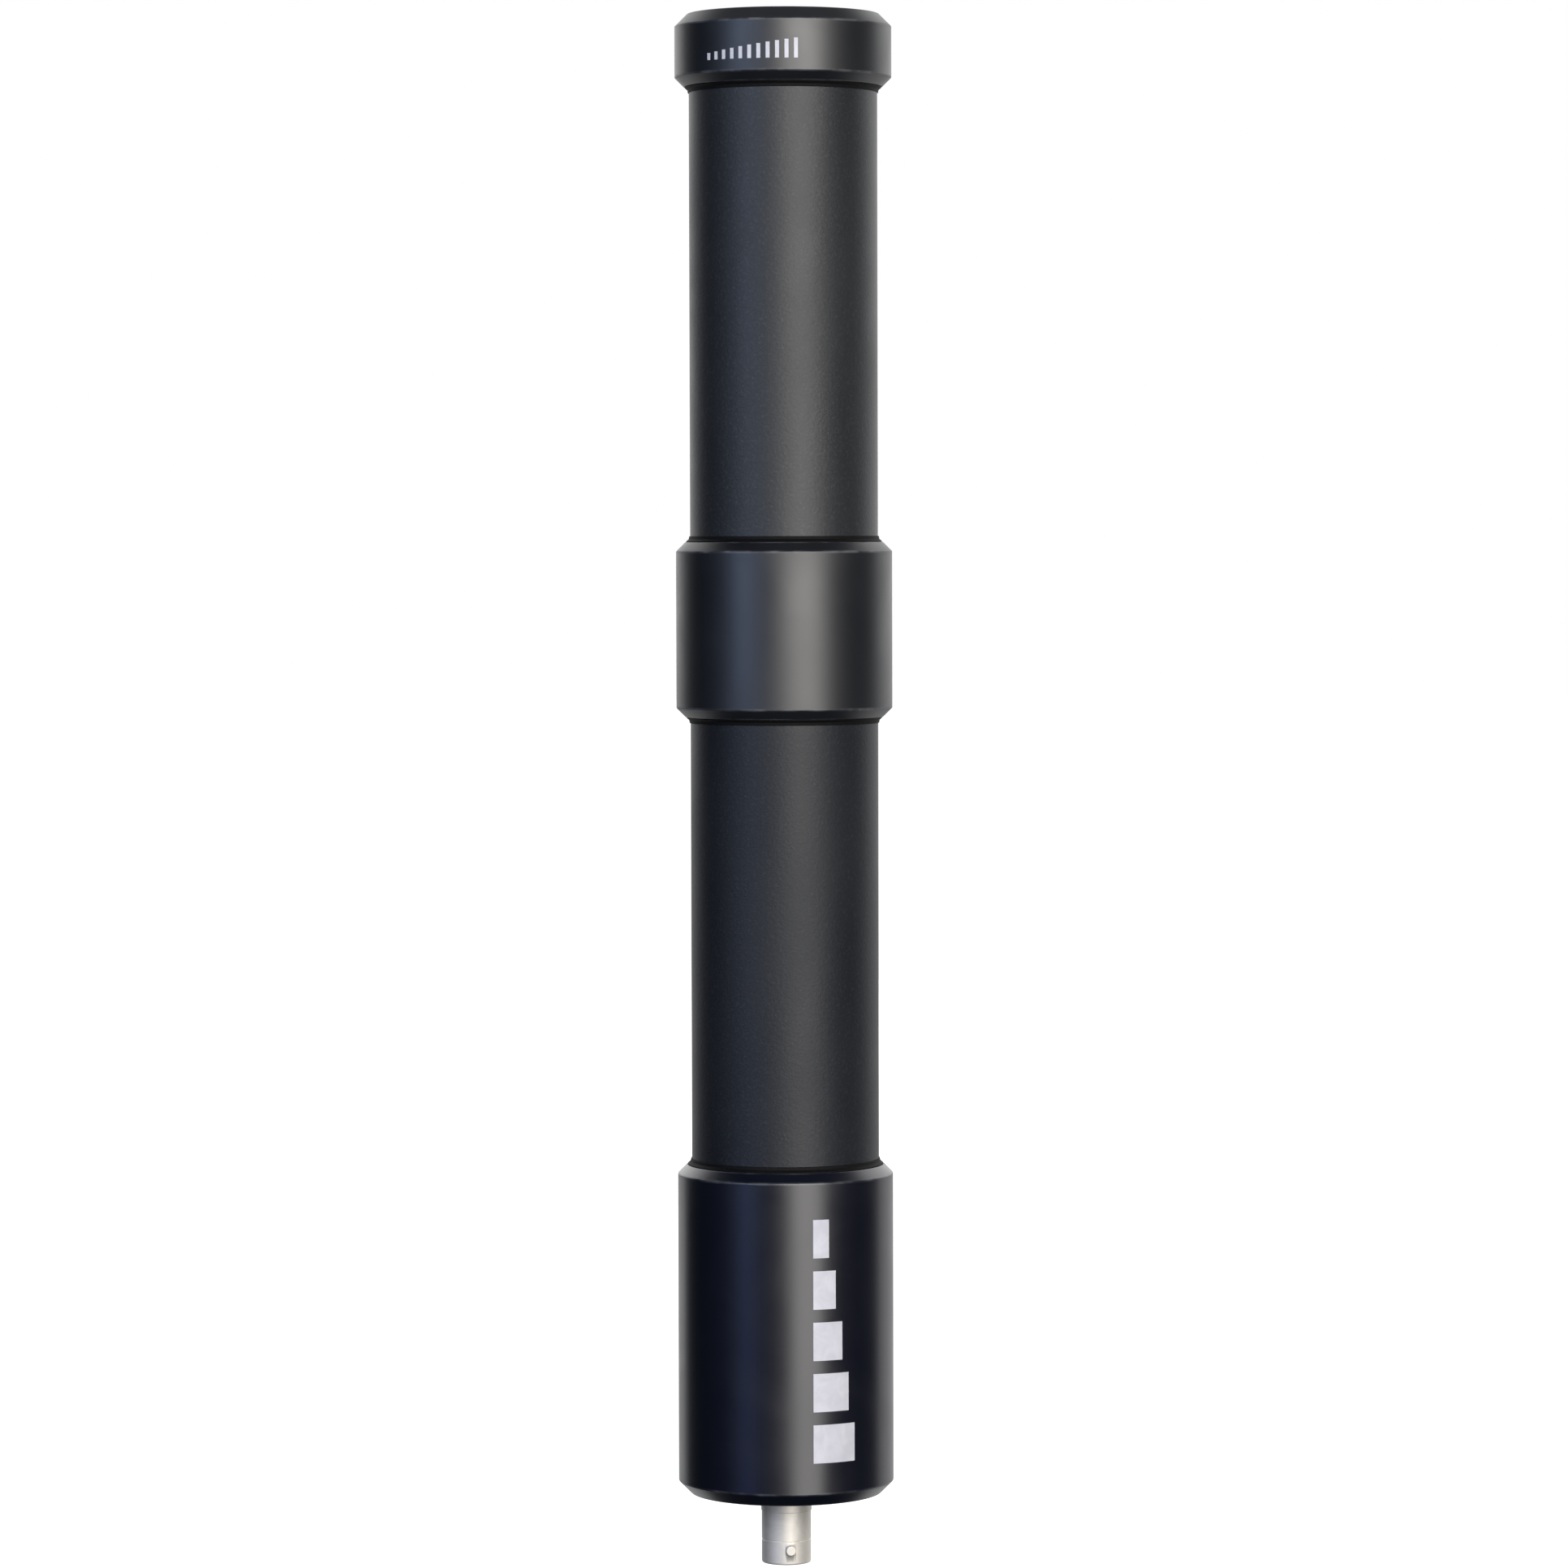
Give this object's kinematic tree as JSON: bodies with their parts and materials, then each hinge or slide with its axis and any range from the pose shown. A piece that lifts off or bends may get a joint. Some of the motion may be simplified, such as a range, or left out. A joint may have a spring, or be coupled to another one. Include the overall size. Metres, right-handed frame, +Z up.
{
  "type": "omnidirectional stick antenna",
  "caption": "Black cylindrical stick antenna for wireless microphone receivers: covered radiating arms, centre collar, end cap and a base with a BNC jack.",
  "frame": {"origin": "centre of the base's flat underside, where the BNC jack comes out", "axes": "+Z up the antenna towards the end cap; -Z out of the BNC jack; the printed mark faces -Y"},
  "size_m": [0.042, 0.042, 0.3013],
  "materials": {
    "base_gloss_plastic": "smooth black with a soft gloss",
    "fitting_satin_plastic": "satin black, turned edges",
    "tube_matte_plastic": "fine-textured matt black",
    "seal_rubber": "matt black rubber",
    "nickel_plate": "dull nickel plate over brass",
    "white_ptfe": "waxy white",
    "gold_plate": "gold plate over brass",
    "tinned_brass": "bright tin plate",
    "copper": "bare copper",
    "enamelled_wire": "clear red-brown enamel",
    "cable_jacket": "smooth black jacket",
    "ferrite": "fired dark grey",
    "shrink_sleeve": "black shrunk tube",
    "white_foam": "white closed-cell foam",
    "grey_foam": "grey open-cell foam",
    "brass_sheet": "rolled brass, slightly dulled",
    "screw_steel": "blued steel",
    "board_laminate": "green solder mask over glass laminate",
    "chip_ceramic": "tan ceramic with tinned ends",
    "printed_ink": "pale lavender pad-printed bars on the base and the cap"
  },
  "bodies": {
    "root": {"base_housing": "base_gloss_plastic", "base_seal_ring": "seal_rubber", "lower_tube": "tube_matte_plastic", "collar_lower_seal_ring": "seal_rubber", "centre_collar": "fitting_satin_plastic", "collar_upper_seal_ring": "seal_rubber", "upper_tube": "tube_matte_plastic", "cap_seal_ring": "seal_rubber", "end_cap": "fitting_satin_plastic", "bnc_body": "nickel_plate", "bnc_insulator": "white_ptfe", "bnc_contact": "gold_plate", "bnc_flange_gasket": "seal_rubber", "ground_lug": "tinned_brass", "bnc_lock_washer": "nickel_plate", "bnc_nut": "nickel_plate", "coax_conductor": "copper", "coax_dielectric": "white_ptfe", "coax_braid": "tinned_brass", "coax_jacket": "cable_jacket", "ferrite_beads": "ferrite", "bead_sleeve": "shrink_sleeve", "cable_guide_disc": "white_foam", "lower_arm": "brass_sheet", "lower_arm_screws": "screw_steel", "lower_arm_spacer": "white_foam", "feed_strap": "copper", "feed_board": "board_laminate", "balun_core": "ferrite", "balun_winding": "enamelled_wire", "feed_chips": "chip_ceramic", "upper_arm": "brass_sheet", "upper_arm_screws": "screw_steel", "upper_arm_spacer": "white_foam", "cap_foam_pad": "grey_foam"}
  },
  "joints": []
}
